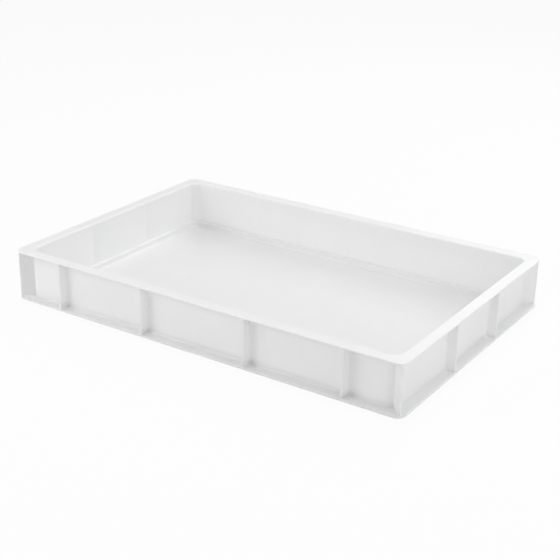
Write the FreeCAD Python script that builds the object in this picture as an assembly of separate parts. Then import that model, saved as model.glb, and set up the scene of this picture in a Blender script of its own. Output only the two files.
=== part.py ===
import FreeCAD, Part
import math
import os

# Moulded plastic proofing tray: a flat floor, four upright walls with rounded corners, a flat rim
# and a base flange that stand out from the walls by the same depth, thin ribs between the two, and a
# low stacking foot round the floor that drops into the mouth of a like tray below.
# Millimetres, +Z up. The origin is the middle of the underside, +X runs along the long walls and
# the front wall is at -Y.

# Overall size
TRAY_LENGTH = 600.0
TRAY_WIDTH = 400.0
TRAY_HEIGHT = 75.0

# Thickness of each section of the moulding
WALL_THICKNESS = 3.0
FLOOR_THICKNESS = 2.5
RIM_THICKNESS = 2.5
BASE_THICKNESS = 3.0
RIB_THICKNESS = 3.0
WEB_THICKNESS = 2.5
FOOT_THICKNESS = 2.5

# How far the rim and the base flange stand out from the wall's outer face
FLANGE_OVERHANG = 13.5

# Stacking foot: its reach below the base flange, the height of its ledge inside the tray above the
# flange's underside, and its clearance on each side in the mouth of a like tray
FOOT_DROP = 5.0
FOOT_RISE = 6.5
FOOT_CLEARANCE = 1.0

# Corner radii seen from above: the edge of rim and base flange, and the inside of the walls
OUTER_CORNER_RADIUS = 12.0
INNER_CORNER_RADIUS = 14.0

# Soft edges, and the largest share of a thickness that one of them may take
RIM_EDGE_ROUND = 1.0
MOUTH_EDGE_ROUND = 2.0
BASE_EDGE_ROUND = 1.2
RIB_EDGE_ROUND = 0.8
FOOT_EDGE_ROUND = 1.0
ROUND_SHARE_LIMIT = 0.45
MOUTH_SHARE_LIMIT = 0.9

# Ribs: distance of their outer edge from the flange's edge, and their places along the walls
RIB_SETBACK = 0.5
END_RIB_INSET = 80.0
MIDDLE_RIB_OFFSET = 80.0
SHORT_WALL_RIB_OFFSET = 60.0

# Places that follow from the sizes above
HALF_LENGTH = TRAY_LENGTH / 2
HALF_WIDTH = TRAY_WIDTH / 2
FLANGE_WIDTH = FLANGE_OVERHANG + WALL_THICKNESS
INNER_HALF_LENGTH = HALF_LENGTH - FLANGE_WIDTH
INNER_HALF_WIDTH = HALF_WIDTH - FLANGE_WIDTH
STRAIGHT_HALF_LENGTH = INNER_HALF_LENGTH - INNER_CORNER_RADIUS
STRAIGHT_HALF_WIDTH = INNER_HALF_WIDTH - INNER_CORNER_RADIUS
WALL_CORNER_RADIUS = INNER_CORNER_RADIUS + WALL_THICKNESS
FOOT_INSET = FOOT_CLEARANCE + FOOT_THICKNESS
LEDGE_HEIGHT = FOOT_DROP + FOOT_RISE
BASE_TOP = FOOT_DROP + BASE_THICKNESS
RIM_UNDERSIDE = TRAY_HEIGHT - RIM_THICKNESS
WALL_HEIGHT = RIM_UNDERSIDE - BASE_TOP

# How close an edge has to lie to a height or a side to count as lying on it
ON_EDGE = 0.001


def rounded_block(half_length, half_width, radius, bottom, top):
    """Upright block round the Z axis with rounded vertical corners."""
    corner = FreeCAD.Vector(-half_length, -half_width, bottom)
    block = Part.makeBox(2 * half_length, 2 * half_width, top - bottom, corner)
    uprights = [edge for edge in block.Edges if edge.BoundBox.ZLength > ON_EDGE]
    return block.makeFillet(radius, uprights)


def level_edges(shape, height, half_length, half_width):
    """Edges that lie at one height, on or within a rectangle round the Z axis."""
    found = []
    for edge in shape.Edges:
        box = edge.BoundBox
        is_level = abs(box.ZMin - height) < ON_EDGE and abs(box.ZMax - height) < ON_EDGE
        is_within = box.XMax < half_length + ON_EDGE and box.XMin > -half_length - ON_EDGE
        is_within = is_within and box.YMax < half_width + ON_EDGE and box.YMin > -half_width - ON_EDGE
        if is_level and is_within:
            found.append(edge)
    return found


def inner_block(bottom, top, inset=0.0):
    """The space between the walls' inner faces, from one height to another, drawn in by an inset."""
    half_length = INNER_HALF_LENGTH - inset
    half_width = INNER_HALF_WIDTH - inset
    return rounded_block(half_length, half_width, INNER_CORNER_RADIUS - inset, bottom, top)


def outer_block(bottom, top, edge_round):
    """The full outline of the tray between two heights, with soft upper and lower edges."""
    block = rounded_block(HALF_LENGTH, HALF_WIDTH, OUTER_CORNER_RADIUS, bottom, top)
    edges = level_edges(block, bottom, HALF_LENGTH, HALF_WIDTH)
    edges += level_edges(block, top, HALF_LENGTH, HALF_WIDTH)
    return block.makeFillet(edge_round, edges)


def rim_ring():
    """Flat rim round the mouth, resting on the walls, ribs and webs."""
    edge_round = min(RIM_EDGE_ROUND, ROUND_SHARE_LIMIT * RIM_THICKNESS)
    ring = outer_block(RIM_UNDERSIDE, TRAY_HEIGHT, edge_round)
    ring = ring.cut(inner_block(RIM_UNDERSIDE, TRAY_HEIGHT))
    mouth = level_edges(ring, TRAY_HEIGHT, INNER_HALF_LENGTH, INNER_HALF_WIDTH)
    mouth_round = min(MOUTH_EDGE_ROUND, MOUTH_SHARE_LIMIT * RIM_THICKNESS)
    return ring.makeFillet(mouth_round, mouth)


def base_ring():
    """Base flange round the floor, with the walls, ribs and webs standing on it."""
    edge_round = min(BASE_EDGE_ROUND, ROUND_SHARE_LIMIT * BASE_THICKNESS)
    return outer_block(FOOT_DROP, BASE_TOP, edge_round).cut(inner_block(FOOT_DROP, BASE_TOP))


def wall_ring():
    """Upright wall between the base flange and the rim."""
    half_length = INNER_HALF_LENGTH + WALL_THICKNESS
    half_width = INNER_HALF_WIDTH + WALL_THICKNESS
    outside = rounded_block(half_length, half_width, WALL_CORNER_RADIUS, BASE_TOP, RIM_UNDERSIDE)
    return outside.cut(inner_block(BASE_TOP, RIM_UNDERSIDE))


def foot_ring():
    """Stacking foot round the floor, with a ledge inside the tray where it joins the wall."""
    edge_round = min(FOOT_EDGE_ROUND, ROUND_SHARE_LIMIT * FOOT_THICKNESS)
    drop = inner_block(0, FOOT_DROP, FOOT_CLEARANCE)
    drop = drop.makeFillet(edge_round, level_edges(drop, 0, HALF_LENGTH, HALF_WIDTH))
    ring = drop.fuse(inner_block(FOOT_DROP, LEDGE_HEIGHT))
    ring = ring.cut(inner_block(0, LEDGE_HEIGHT, FOOT_INSET))
    half_length = INNER_HALF_LENGTH - FOOT_INSET
    half_width = INNER_HALF_WIDTH - FOOT_INSET
    return ring.makeFillet(edge_round, level_edges(ring, LEDGE_HEIGHT, half_length, half_width))


def section(ring, low_x, high_x, low_y, high_y):
    """The stretch of a ring that lies over one rectangle of the plan."""
    corner = FreeCAD.Vector(low_x, low_y, 0)
    return ring.common(Part.makeBox(high_x - low_x, high_y - low_y, TRAY_HEIGHT, corner)).Solids[0]


def ring_sections(ring, name):
    """The four straight stretches and the four corners of a ring, by node name."""
    x_spans = {
        "left": (-HALF_LENGTH, -STRAIGHT_HALF_LENGTH),
        "": (-STRAIGHT_HALF_LENGTH, STRAIGHT_HALF_LENGTH),
        "right": (STRAIGHT_HALF_LENGTH, HALF_LENGTH),
    }
    y_spans = {
        "front": (-HALF_WIDTH, -STRAIGHT_HALF_WIDTH),
        "": (-STRAIGHT_HALF_WIDTH, STRAIGHT_HALF_WIDTH),
        "back": (STRAIGHT_HALF_WIDTH, HALF_WIDTH),
    }
    pieces = {}
    for y_word, y_span in y_spans.items():
        for x_word, x_span in x_spans.items():
            words = [word for word in (y_word, x_word) if word]
            if not words:
                continue
            words.append(name)
            if len(words) == 3:
                words.append("corner")
            pieces["_".join(words)] = section(ring, *x_span, *y_span)
    return pieces


def plate(reach, thickness, x, y, angle):
    """Thin upright plate between base flange and rim, running outwards from a point of the plan."""
    blank = Part.makeBox(reach, thickness, WALL_HEIGHT, FreeCAD.Vector(0, -thickness / 2, BASE_TOP))
    tips = []
    for edge in blank.Edges:
        if edge.BoundBox.ZLength > ON_EDGE and edge.BoundBox.XMin > reach - ON_EDGE:
            tips.append(edge)
    blank = blank.makeFillet(min(RIB_EDGE_ROUND, ROUND_SHARE_LIMIT * thickness), tips)
    blank.rotate(FreeCAD.Vector(0, 0, 0), FreeCAD.Vector(0, 0, 1), angle)
    blank.translate(FreeCAD.Vector(x, y, 0))
    return blank


def ribs():
    """Four ribs on each long wall and two on each short wall, numbered from left and from front."""
    reach = FLANGE_OVERHANG - RIB_SETBACK
    wall_x = INNER_HALF_LENGTH + WALL_THICKNESS
    wall_y = INNER_HALF_WIDTH + WALL_THICKNESS
    end_rib = HALF_LENGTH - END_RIB_INSET
    pieces = {}
    for number, x in enumerate((-end_rib, -MIDDLE_RIB_OFFSET, MIDDLE_RIB_OFFSET, end_rib), 1):
        pieces["front_rib_%d" % number] = plate(reach, RIB_THICKNESS, x, -wall_y, -90)
        pieces["back_rib_%d" % number] = plate(reach, RIB_THICKNESS, x, wall_y, 90)
    for number, y in enumerate((-SHORT_WALL_RIB_OFFSET, SHORT_WALL_RIB_OFFSET), 1):
        pieces["left_rib_%d" % number] = plate(reach, RIB_THICKNESS, -wall_x, y, 180)
        pieces["right_rib_%d" % number] = plate(reach, RIB_THICKNESS, wall_x, y, 0)
    return pieces


def corner_webs():
    """Diagonal web at each corner, from the rounded wall out to the corner of the flanges."""
    arc_shift = FLANGE_WIDTH + INNER_CORNER_RADIUS - OUTER_CORNER_RADIUS
    reach = math.sqrt(2) * arc_shift + OUTER_CORNER_RADIUS - RIB_SETBACK
    pieces = {}
    for y_word, y_sign in (("front", -1), ("back", 1)):
        for x_word, x_sign in (("left", -1), ("right", 1)):
            x = x_sign * STRAIGHT_HALF_LENGTH
            y = y_sign * STRAIGHT_HALF_WIDTH
            angle = math.degrees(math.atan2(y_sign, x_sign))
            corner_middle = FreeCAD.Vector(x, y, 0)
            wall = Part.makeCylinder(WALL_CORNER_RADIUS, TRAY_HEIGHT, corner_middle)
            web = plate(reach, WEB_THICKNESS, x, y, angle).cut(wall)
            pieces["%s_%s_corner_web" % (y_word, x_word)] = web.Solids[0]
    return pieces


pieces = {"floor_panel": inner_block(0, FLOOR_THICKNESS, FOOT_INSET)}
pieces.update(ring_sections(foot_ring(), "foot"))
pieces.update(ring_sections(wall_ring(), "wall"))
pieces.update(ring_sections(rim_ring(), "rim"))
pieces.update(ring_sections(base_ring(), "base_flange"))
pieces.update(ribs())
pieces.update(corner_webs())

os.makedirs("parts", exist_ok=True)
for node, shape in pieces.items():
    shape.exportStep("parts/%s.step" % node)
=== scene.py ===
import math

import bmesh
import bpy
from mathutils import Matrix, Vector


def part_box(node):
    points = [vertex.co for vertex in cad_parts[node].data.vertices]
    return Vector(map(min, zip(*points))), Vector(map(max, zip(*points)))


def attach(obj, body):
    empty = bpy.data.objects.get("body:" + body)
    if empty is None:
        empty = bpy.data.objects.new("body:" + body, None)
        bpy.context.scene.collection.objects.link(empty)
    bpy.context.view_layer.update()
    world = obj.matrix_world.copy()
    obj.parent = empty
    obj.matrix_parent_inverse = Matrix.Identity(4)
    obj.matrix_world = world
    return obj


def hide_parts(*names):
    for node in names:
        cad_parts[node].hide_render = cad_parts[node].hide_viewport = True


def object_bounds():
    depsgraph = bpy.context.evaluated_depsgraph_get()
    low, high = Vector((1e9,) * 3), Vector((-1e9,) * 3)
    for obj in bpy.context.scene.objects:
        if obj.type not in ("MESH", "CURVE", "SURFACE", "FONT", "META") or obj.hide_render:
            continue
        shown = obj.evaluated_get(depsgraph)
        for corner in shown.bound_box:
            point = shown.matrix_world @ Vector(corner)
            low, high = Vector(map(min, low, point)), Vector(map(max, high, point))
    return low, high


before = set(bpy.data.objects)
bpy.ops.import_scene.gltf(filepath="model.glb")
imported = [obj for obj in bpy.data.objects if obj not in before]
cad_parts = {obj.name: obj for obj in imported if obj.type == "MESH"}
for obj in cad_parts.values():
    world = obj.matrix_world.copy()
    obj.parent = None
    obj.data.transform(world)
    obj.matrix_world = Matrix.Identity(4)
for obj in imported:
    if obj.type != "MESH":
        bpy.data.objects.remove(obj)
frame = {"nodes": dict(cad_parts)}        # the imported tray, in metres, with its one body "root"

cad_low, cad_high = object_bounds()
MM = 0.001

# Sizes read from the frame. Depths are measured inwards from the outline of rim and base flange.
back_wall_low, back_wall_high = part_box("back_wall")
rib_low, rib_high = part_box("back_rib_1")
floor_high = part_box("floor_panel")[1]
HALF_LENGTH = cad_high.x
HALF_WIDTH = cad_high.y
TRAY_TOP = cad_high.z
WALL_OUTSIDE = HALF_WIDTH - back_wall_high.y
WALL_INSIDE = HALF_WIDTH - back_wall_low.y
FLANGE_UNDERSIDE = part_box("back_base_flange")[0].z
BASE_TOP = back_wall_low.z
RIM_UNDERSIDE = back_wall_high.z
LEDGE_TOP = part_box("back_foot")[1].z
FLOOR_TOP = floor_high.z
FOOT_INSIDE = HALF_WIDTH - floor_high.y
STRAIGHT_X = back_wall_high.x
STRAIGHT_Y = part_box("right_wall")[1].y
INNER_CORNER_RADIUS = HALF_LENGTH - WALL_INSIDE - STRAIGHT_X
RIB_THICKNESS = rib_high.x - rib_low.x
RIB_SETBACK = HALF_WIDTH - rib_high.y
WEB_THICKNESS = 2.5 * MM
FOOT_THICKNESS = 2.5 * MM
FOOT_OUTSIDE = FOOT_INSIDE - FOOT_THICKNESS

# Rounding of the moulding
OUTER_CORNER_RADIUS = 12 * MM
RIM_ROUND = 1.0 * MM
MOUTH_ROUND = 2.0 * MM
BASE_ROUND = 1.2 * MM
ROOT_FILLET = 2.0 * MM
FOOT_ROUND = 1.0 * MM
FOOT_FILLET = 1.0 * MM
LEDGE_FILLET = 2.0 * MM
FLOOR_COVE = 3.0 * MM
FIN_ROOT_FILLET = 3.0 * MM
FIN_END_FILLET = 1.0 * MM
FIN_TIP_ROUND = 0.8 * MM
ARC_STEPS = 6
SHARP_ANGLE = 40

# Straight stretch of the outline between the end of a side's straight wall and the corner's arc
CORNER_FLAT = WALL_INSIDE + INNER_CORNER_RADIUS - OUTER_CORNER_RADIUS

# Distances under which two points are one: within a form, and where forms have been joined
SAME_PLACE = 1e-7
WELD = 0.01 * MM

# Sink marks: shallow hollows in the inner face of the wall, opposite each rib
SINK_DEPTH = 0.35 * MM
SINK_WIDTH = 3.0 * MM
SINK_FADE = 6.0 * MM
SINK_CLEAR = 2.5 * SINK_WIDTH
SINK_STEPS = (-2, -1, -0.5, 0, 0.5, 1, 2)        # places across a sink mark, in widths

# Spacing of the mesh along the outline
STRAIGHT_STEP = 20 * MM
CORNER_FLAT_STEPS = 8
CORNER_ARC_STEPS = 16

# How far light wanders inside the plastic: in the thin walls, and in the floor and foot up to the ledge,
# with the height over which the one goes over into the other
WALL_LIGHT_DEPTH = 6.0 * MM
FLOOR_LIGHT_DEPTH = 0.15 * MM
FOOT_FADE = 8.0 * MM

# Look of the plastic: its tint drifts a little in soft clouds, its gloss in smaller patches, and its
# face has a fine grain. A larger scale gives a finer pattern.
PLASTIC_IOR = 1.5
LIGHT_DEPTH_BY_COLOUR = (1.0, 1.0, 0.95)
DARKER_TINT = (0.912, 0.916, 0.918, 1)
LIGHTER_TINT = (0.936, 0.937, 0.934, 1)
CLOUD_SCALE = 14.0
CLOUD_DETAIL = 4.0
PATCH_SCALE = 60.0
PATCH_DETAIL = 3.0
NOISE_LOW = 0.3
NOISE_HIGH = 0.7
GLOSSIER_ROUGHNESS = 0.28
DULLER_ROUGHNESS = 0.40
GRAIN_SCALE = 900.0
GRAIN_DETAIL = 2.0
GRAIN_STRENGTH = 0.25
GRAIN_HEIGHT = 0.05 * MM

# How far a rib or web is sunk into the wall, base flange and rim before it is joined to them
FIN_OVERLAP = 0.4 * MM
WEB_SINK = 0.6 * MM

# Photograph's viewpoint: angles in degrees, distance from the origin and shift of the aim in metres
CAMERA_AZIMUTH = 33.2
CAMERA_ELEVATION = 22.62
CAMERA_ROLL = 0.996
CAMERA_DISTANCE = 1.6391
CAMERA_AIM_RIGHT = 0.00273
CAMERA_AIM_UP = 0.03373
CAMERA_LENS = 75.9
CAMERA_SENSOR = 36.0

# Studio: strength of the surroundings, how white floor and surroundings show, the floor's size and its
# drop below the tray, and the lamps with places and sizes in metres and power in watts
WORLD_LIGHT = 0.23
WORLD_SEEN = 1.0
FLOOR_SEEN = 1.0
FLOOR_WHITENING = 0.94
FLOOR_COLOUR = (0.9, 0.9, 0.9, 1)
WHITE = (1, 1, 1, 1)
STUDIO_FLOOR_SIZE = 8.0
STUDIO_FLOOR_DROP = 0.3 * MM
LAMPS = (
    ("back_key", (0.1, 1.3, 1.3), 1.2, 10.5),
    ("top", (0.25, 0.1, 1.7), 1.2, 7.2),
    ("left_fill", (-1.2, -1.3, 0.8), 1.2, 9.2),
    ("near_left_fill", (-0.45, -0.85, 0.5), 0.5, 1.0),
    ("right_fill", (1.65, -0.1, 0.8), 1.2, 6.7),
    ("front_right_fill", (1.3, -1.2, 0.8), 1.2, 3.4),
)

# Each side: its name, the direction of its outward normal, its distance from the middle, half its
# straight run, and the ribs on it
SIDES = (
    ("front", -90, HALF_WIDTH, STRAIGHT_X, 4),
    ("right", 0, HALF_LENGTH, STRAIGHT_Y, 2),
    ("back", 90, HALF_WIDTH, STRAIGHT_X, 4),
    ("left", 180, HALF_LENGTH, STRAIGHT_Y, 2),
)
CORNERS = ("front_right", "back_right", "back_left", "front_left")


def direction(degrees):
    """Unit vector of the plan, anticlockwise from +X."""
    angle = math.radians(degrees)
    return Vector((math.cos(angle), math.sin(angle)))


def node_middle(node):
    """Middle of a CAD node, seen from above."""
    low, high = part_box(node)
    return ((low + high) / 2).xy


def arc(middle, radius, start, end):
    """Points of an arc of a section, with angles in degrees."""
    points = []
    for step in range(ARC_STEPS + 1):
        spoke = direction(start + (end - start) * step / ARC_STEPS) * radius
        points.append((middle[0] + spoke.x, middle[1] + spoke.y))
    return points


def section_profile():
    """The moulding's section as (depth, height) points, from the underside round to the floor."""
    floor_edge = FOOT_INSIDE + FLOOR_COVE
    profile = [(floor_edge, 0.0)]
    profile += arc((FOOT_OUTSIDE + FOOT_ROUND, FOOT_ROUND), FOOT_ROUND, -90, -180)
    profile += arc((FOOT_OUTSIDE - FOOT_FILLET, FLANGE_UNDERSIDE - FOOT_FILLET), FOOT_FILLET, 0, 90)
    profile += arc((BASE_ROUND, FLANGE_UNDERSIDE + BASE_ROUND), BASE_ROUND, -90, -180)
    profile += arc((BASE_ROUND, BASE_TOP - BASE_ROUND), BASE_ROUND, 180, 90)
    root = WALL_OUTSIDE - ROOT_FILLET
    profile += arc((root, BASE_TOP + ROOT_FILLET), ROOT_FILLET, -90, 0)
    profile += arc((root, RIM_UNDERSIDE - ROOT_FILLET), ROOT_FILLET, 0, 90)
    profile += arc((RIM_ROUND, RIM_UNDERSIDE + RIM_ROUND), RIM_ROUND, -90, -180)
    profile += arc((RIM_ROUND, TRAY_TOP - RIM_ROUND), RIM_ROUND, 180, 90)
    profile += arc((WALL_INSIDE - MOUTH_ROUND, TRAY_TOP - MOUTH_ROUND), MOUTH_ROUND, 90, 0)
    profile.append((WALL_INSIDE, TRAY_TOP - MOUTH_ROUND - SINK_FADE))
    profile.append((WALL_INSIDE, LEDGE_TOP + LEDGE_FILLET + SINK_FADE))
    profile += arc((WALL_INSIDE + LEDGE_FILLET, LEDGE_TOP + LEDGE_FILLET), LEDGE_FILLET, 180, 270)
    profile += arc((FOOT_INSIDE - FOOT_ROUND, LEDGE_TOP - FOOT_ROUND), FOOT_ROUND, 90, 0)
    profile += arc((floor_edge, FLOOR_TOP + FLOOR_COVE), FLOOR_COVE, 180, 270)
    return profile


class Station:
    """One place along the outline, with the points and normals of the outline and of the inner wall."""

    def __init__(self, outline, outline_normal, wall, wall_normal, sink=0.0):
        self.outline = outline
        self.outline_normal = outline_normal
        self.wall = wall
        self.wall_normal = wall_normal
        self.sink = sink

    def at_depth(self, depth):
        """Point of the plan at a depth: parallel to the outline near it and to the wall near that."""
        edge_zone = BASE_ROUND
        wall_zone = WALL_OUTSIDE - ROOT_FILLET
        if depth <= edge_zone:
            return self.outline - self.outline_normal * depth
        if depth >= wall_zone:
            return self.wall - self.wall_normal * (depth - WALL_INSIDE)
        near = self.outline - self.outline_normal * edge_zone
        far = self.wall - self.wall_normal * (wall_zone - WALL_INSIDE)
        return near.lerp(far, (depth - edge_zone) / (wall_zone - edge_zone))


def straight_stations(side, angle, distance, half_run, rib_count):
    """Stations along one straight side, closer together near its ribs."""
    normal = direction(angle)
    along = direction(angle + 90)
    ribs = [node_middle("%s_rib_%d" % (side, n + 1)).dot(along) for n in range(rib_count)]
    count = round(2 * half_run / STRAIGHT_STEP)
    places = [half_run * (2 * n / count - 1) for n in range(count + 1)]
    places = [place for place in places if all(abs(place - rib) > SINK_CLEAR for rib in ribs)]
    for rib in ribs:
        places += [rib + SINK_WIDTH * step for step in SINK_STEPS]
    stations = []
    for place in sorted(places):
        sink = sum(SINK_DEPTH * math.exp(-((place - rib) / SINK_WIDTH) ** 2) for rib in ribs)
        outline = normal * distance + along * place
        wall = normal * (distance - WALL_INSIDE) + along * place
        stations.append(Station(outline, normal, wall, normal, sink))
    return stations


def corner_middle(angle, distance, half_run):
    """Middle of the wall's arc at the corner that follows a side."""
    away = distance - WALL_INSIDE - INNER_CORNER_RADIUS
    return direction(angle) * away + direction(angle + 90) * half_run


def corner_stations(angle, distance, half_run):
    """Stations round the corner that follows a side, without its two ends."""
    normal = direction(angle)
    along = direction(angle + 90)
    wall_middle = corner_middle(angle, distance, half_run)
    arc_middle = wall_middle + (normal + along) * CORNER_FLAT
    total = 2 * CORNER_FLAT_STEPS + CORNER_ARC_STEPS
    stations = []
    for step in range(1, total):
        turn = min(max((step - CORNER_FLAT_STEPS) / CORNER_ARC_STEPS, 0), 1)
        before = max(CORNER_FLAT_STEPS - step, 0) / CORNER_FLAT_STEPS
        after = max(step - CORNER_FLAT_STEPS - CORNER_ARC_STEPS, 0) / CORNER_FLAT_STEPS
        outline_normal = direction(angle + 90 * turn)
        outline = arc_middle + outline_normal * OUTER_CORNER_RADIUS
        outline -= (along * before + normal * after) * CORNER_FLAT
        wall_normal = direction(angle + 90 * step / total)
        wall = wall_middle + wall_normal * INNER_CORNER_RADIUS
        stations.append(Station(outline, outline_normal, wall, wall_normal))
    return stations


def outline_stations():
    """All stations, anticlockwise from the left end of the front."""
    stations = []
    for side, angle, distance, half_run, rib_count in SIDES:
        stations += straight_stations(side, angle, distance, half_run, rib_count)
        stations += corner_stations(angle, distance, half_run)
    return stations


def new_object(name, mesh_builder):
    """A smooth-shaded mesh object made from a bmesh."""
    bmesh.ops.remove_doubles(mesh_builder, verts=mesh_builder.verts, dist=SAME_PLACE)
    bmesh.ops.recalc_face_normals(mesh_builder, faces=mesh_builder.faces)
    mesh = bpy.data.meshes.new(name)
    mesh_builder.to_mesh(mesh)
    mesh_builder.free()
    mesh.polygons.foreach_set("use_smooth", [True] * len(mesh.polygons))
    thing = bpy.data.objects.new(name, mesh)
    bpy.context.scene.collection.objects.link(thing)
    return thing


def loft(rings):
    """Closed skin through rings of equal length, with a face over the first and the last ring."""
    builder = bmesh.new()
    rows = [[builder.verts.new(point) for point in ring] for ring in rings]
    for row, following in zip(rows, rows[1:]):
        for n in range(len(row)):
            m = (n + 1) % len(row)
            builder.faces.new((row[n], row[m], following[m], following[n]))
    builder.faces.new(rows[0])
    builder.faces.new(rows[-1])
    return builder


def shell():
    """Floor, foot, walls, rim and base flange as the one skin that they are."""
    stations = outline_stations()
    sink_low = LEDGE_TOP + LEDGE_FILLET
    sink_high = TRAY_TOP - MOUTH_ROUND
    rings = []
    for depth, height in section_profile():
        on_wall = abs(depth - WALL_INSIDE) < SAME_PLACE
        sinks = on_wall and sink_low + SAME_PLACE < height < sink_high - SAME_PLACE
        ring = []
        for station in stations:
            point = station.at_depth(depth - (station.sink if sinks else 0.0))
            ring.append((point.x, point.y, height))
        rings.append(ring)
    return new_object("moulded_tray", loft(rings))


def fin(name, root, outwards, reach, thickness):
    """Thin upright fin with soft tip edges and filleted roots, from the base flange up to the rim."""
    across = Vector((-outwards.y, outwards.x))
    half = thickness / 2
    side = arc((FIN_ROOT_FILLET - FIN_OVERLAP, half + FIN_ROOT_FILLET), FIN_ROOT_FILLET, 180, 270)
    side += arc((reach - FIN_TIP_ROUND, half - FIN_TIP_ROUND), FIN_TIP_ROUND, 90, 0)
    outline = side + [(distance, -width) for distance, width in reversed(side)]
    low = BASE_TOP - FIN_OVERLAP + FIN_END_FILLET
    high = RIM_UNDERSIDE + FIN_OVERLAP - FIN_END_FILLET
    levels = arc((low, FIN_END_FILLET), FIN_END_FILLET, 180, 270)
    levels += arc((high, FIN_END_FILLET), FIN_END_FILLET, 270, 360)
    rings = []
    for height, flare in levels:
        ring = []
        for distance, width in outline:
            point = root + outwards * distance + across * (width + math.copysign(flare, width))
            ring.append((point.x, point.y, height))
        rings.append(ring)
    return new_object(name, loft(rings))


def ribs():
    """The ribs of all four sides."""
    made = []
    for side, angle, distance, _, rib_count in SIDES:
        outwards = direction(angle)
        along = direction(angle + 90)
        for number in range(1, rib_count + 1):
            node = "%s_rib_%d" % (side, number)
            root = outwards * (distance - WALL_OUTSIDE) + along * node_middle(node).dot(along)
            made.append(fin(node + "_form", root, outwards, WALL_OUTSIDE - RIB_SETBACK, RIB_THICKNESS))
    return made


def webs():
    """The diagonal webs of the four corners."""
    made = []
    root_radius = INNER_CORNER_RADIUS + WALL_INSIDE - WALL_OUTSIDE - WEB_SINK
    reach = math.sqrt(2) * CORNER_FLAT + OUTER_CORNER_RADIUS - RIB_SETBACK - root_radius
    for corner, (_, angle, distance, half_run, _) in zip(CORNERS, SIDES):
        outwards = direction(angle + 45)
        root = corner_middle(angle, distance, half_run) + outwards * root_radius
        made.append(fin(corner + "_web_form", root, outwards, reach, WEB_THICKNESS))
    return made


def weld(mesh):
    """Joins the points and drops the slivers that a union leaves along its seams."""
    builder = bmesh.new()
    builder.from_mesh(mesh)
    bmesh.ops.remove_doubles(builder, verts=builder.verts, dist=WELD)
    bmesh.ops.dissolve_degenerate(builder, edges=builder.edges, dist=WELD)
    builder.to_mesh(mesh)
    builder.free()


def moulded_tray():
    """Shell, ribs and webs joined into the one moulding that they are."""
    tray = shell()
    fins = ribs() + webs()
    for thing in fins:
        join = tray.modifiers.new("join_" + thing.name, "BOOLEAN")
        join.operation = "UNION"
        join.solver = "EXACT"
        join.object = thing
    evaluated = tray.evaluated_get(bpy.context.evaluated_depsgraph_get())
    joined = bpy.data.meshes.new_from_object(evaluated)
    tray.modifiers.clear()
    tray.data = joined
    weld(joined)
    for thing in fins:
        bpy.data.objects.remove(thing)
    joined.set_sharp_from_angle(angle=math.radians(SHARP_ANGLE))
    normals = tray.modifiers.new("flat_faces_stay_flat", "WEIGHTED_NORMAL")
    normals.keep_sharp = True
    return tray


def noise(nodes, links, place, scale, detail):
    """Soft noise between 0 and 1 over the piece."""
    texture = nodes.new("ShaderNodeTexNoise")
    texture.inputs["Scale"].default_value = scale
    texture.inputs["Detail"].default_value = detail
    links.new(place, texture.inputs["Vector"])
    return texture.outputs["Fac"]


def map_range(nodes, links, value, before, after):
    """A value carried over from one range to another, and held at its ends."""
    mapped = nodes.new("ShaderNodeMapRange")
    mapped.inputs["From Min"].default_value, mapped.inputs["From Max"].default_value = before
    mapped.inputs["To Min"].default_value, mapped.inputs["To Max"].default_value = after
    links.new(value, mapped.inputs["Value"])
    return mapped.outputs["Result"]


def plastic_material():
    """White, slightly translucent moulded plastic with a satin face."""
    material = bpy.data.materials.new("white_plastic")
    material.use_nodes = True
    nodes = material.node_tree.nodes
    links = material.node_tree.links
    shader = nodes["Principled BSDF"]
    shader.subsurface_method = "RANDOM_WALK"
    shader.inputs["Subsurface Weight"].default_value = 1.0
    shader.inputs["Subsurface Radius"].default_value = LIGHT_DEPTH_BY_COLOUR
    shader.inputs["IOR"].default_value = PLASTIC_IOR
    place = nodes.new("ShaderNodeTexCoord").outputs["Object"]

    axes = nodes.new("ShaderNodeSeparateXYZ")
    links.new(place, axes.inputs["Vector"])
    heights = (LEDGE_TOP, LEDGE_TOP + FOOT_FADE)
    depths = (FLOOR_LIGHT_DEPTH, WALL_LIGHT_DEPTH)
    light_depth = map_range(nodes, links, axes.outputs["Z"], heights, depths)
    links.new(light_depth, shader.inputs["Subsurface Scale"])

    clouds = noise(nodes, links, place, CLOUD_SCALE, CLOUD_DETAIL)
    tint = nodes.new("ShaderNodeValToRGB")
    darker, lighter = tint.color_ramp.elements
    darker.position = NOISE_LOW
    darker.color = DARKER_TINT
    lighter.position = NOISE_HIGH
    lighter.color = LIGHTER_TINT
    links.new(clouds, tint.inputs["Fac"])
    links.new(tint.outputs["Color"], shader.inputs["Base Color"])

    patches = noise(nodes, links, place, PATCH_SCALE, PATCH_DETAIL)
    rough_ends = (GLOSSIER_ROUGHNESS, DULLER_ROUGHNESS)
    roughness = map_range(nodes, links, patches, (NOISE_LOW, NOISE_HIGH), rough_ends)
    links.new(roughness, shader.inputs["Roughness"])

    grain = noise(nodes, links, place, GRAIN_SCALE, GRAIN_DETAIL)
    relief = nodes.new("ShaderNodeBump")
    relief.inputs["Strength"].default_value = GRAIN_STRENGTH
    relief.inputs["Distance"].default_value = GRAIN_HEIGHT
    links.new(grain, relief.inputs["Height"])
    links.new(relief.outputs["Normal"], shader.inputs["Normal"])
    return material


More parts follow.
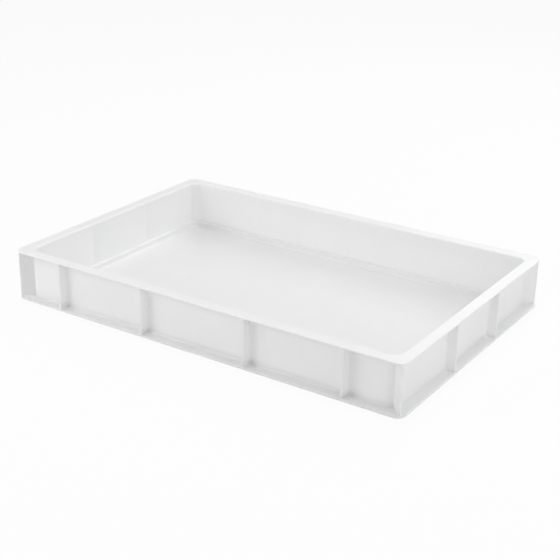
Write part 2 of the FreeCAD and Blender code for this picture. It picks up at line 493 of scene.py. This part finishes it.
def seen_directly(nodes, links):
    """1 for rays that show the background: from the camera, or off gloss or through clear things."""
    path = nodes.new("ShaderNodeLightPath")
    camera_or_glossy = nodes.new("ShaderNodeMath")
    camera_or_glossy.operation = "MAXIMUM"
    links.new(path.outputs["Is Camera Ray"], camera_or_glossy.inputs[0])
    links.new(path.outputs["Is Glossy Ray"], camera_or_glossy.inputs[1])
    any_of_them = nodes.new("ShaderNodeMath")
    any_of_them.operation = "MAXIMUM"
    links.new(camera_or_glossy.outputs[0], any_of_them.inputs[0])
    links.new(path.outputs["Is Transmission Ray"], any_of_them.inputs[1])
    return any_of_them.outputs[0]


def studio_floor():
    """Plain white floor that shows pale to the camera and keeps the tray's shadow."""
    builder = bmesh.new()
    bmesh.ops.create_grid(builder, x_segments=1, y_segments=1, size=STUDIO_FLOOR_SIZE / 2)
    floor = new_object("studio_floor", builder)
    floor.location.z = cad_low.z - STUDIO_FLOOR_DROP
    material = bpy.data.materials.new("studio_floor")
    material.use_nodes = True
    nodes = material.node_tree.nodes
    links = material.node_tree.links
    nodes.clear()
    lit = nodes.new("ShaderNodeBsdfDiffuse")
    lit.inputs["Color"].default_value = FLOOR_COLOUR
    plain = nodes.new("ShaderNodeEmission")
    plain.inputs["Strength"].default_value = FLOOR_SEEN
    whitened = nodes.new("ShaderNodeMixShader")
    whitened.inputs["Fac"].default_value = FLOOR_WHITENING
    links.new(lit.outputs[0], whitened.inputs[1])
    links.new(plain.outputs[0], whitened.inputs[2])
    choice = nodes.new("ShaderNodeMixShader")
    links.new(seen_directly(nodes, links), choice.inputs["Fac"])
    links.new(lit.outputs[0], choice.inputs[1])
    links.new(whitened.outputs[0], choice.inputs[2])
    output = nodes.new("ShaderNodeOutputMaterial")
    links.new(choice.outputs[0], output.inputs["Surface"])
    floor.data.materials.append(material)


def studio_world():
    """Even pale surroundings, white where they are seen directly."""
    world = bpy.data.worlds.new("studio")
    bpy.context.scene.world = world
    world.use_nodes = True
    nodes = world.node_tree.nodes
    links = world.node_tree.links
    nodes.clear()
    around = nodes.new("ShaderNodeBackground")
    around.inputs["Strength"].default_value = WORLD_LIGHT
    white = nodes.new("ShaderNodeBackground")
    white.inputs["Strength"].default_value = WORLD_SEEN
    for background in (around, white):
        background.inputs["Color"].default_value = WHITE
    choice = nodes.new("ShaderNodeMixShader")
    links.new(seen_directly(nodes, links), choice.inputs["Fac"])
    links.new(around.outputs[0], choice.inputs[1])
    links.new(white.outputs[0], choice.inputs[2])
    output = nodes.new("ShaderNodeOutputWorld")
    links.new(choice.outputs[0], output.inputs["Surface"])


def softbox(name, place, size, power):
    """Square area lamp aimed at the middle of the tray."""
    lamp = bpy.data.lights.new(name, "AREA")
    lamp.shape = "SQUARE"
    lamp.size = size
    lamp.energy = power
    thing = bpy.data.objects.new(name, lamp)
    thing.location = place
    thing.rotation_euler = (-Vector(place)).to_track_quat("-Z", "Y").to_euler()
    bpy.context.scene.collection.objects.link(thing)


def photo_camera():
    """Camera at the photograph's viewpoint."""
    azimuth = math.radians(CAMERA_AZIMUTH)
    elevation = math.radians(CAMERA_ELEVATION)
    back = Vector((math.sin(azimuth) * math.cos(elevation),
                   -math.cos(azimuth) * math.cos(elevation),
                   math.sin(elevation)))
    level = Vector((math.cos(azimuth), math.sin(azimuth), 0))
    turned = Matrix.Rotation(math.radians(CAMERA_ROLL), 3, back)
    right = turned @ level
    up = turned @ back.cross(level)
    place = back * CAMERA_DISTANCE + right * CAMERA_AIM_RIGHT + up * CAMERA_AIM_UP
    lens = bpy.data.cameras.new("photo_camera")
    lens.sensor_width = CAMERA_SENSOR
    lens.lens = CAMERA_LENS
    camera = bpy.data.objects.new("photo_camera", lens)
    camera.matrix_world = Matrix((
        (right.x, up.x, back.x, place.x),
        (right.y, up.y, back.y, place.y),
        (right.z, up.z, back.z, place.z),
        (0, 0, 0, 1),
    ))
    bpy.context.scene.collection.objects.link(camera)
    bpy.context.scene.camera = camera


def dress(piece, material, nodes):
    """Gives a piece its material and body, and hides the nodes that it stands for."""
    piece.data.materials.append(material)
    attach(piece, "root")
    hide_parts(*nodes)


dress(moulded_tray(), plastic_material(), frame["nodes"])

studio_floor()
studio_world()
for lamp in LAMPS:
    softbox(*lamp)
photo_camera()
bpy.context.scene.view_settings.view_transform = "Standard"
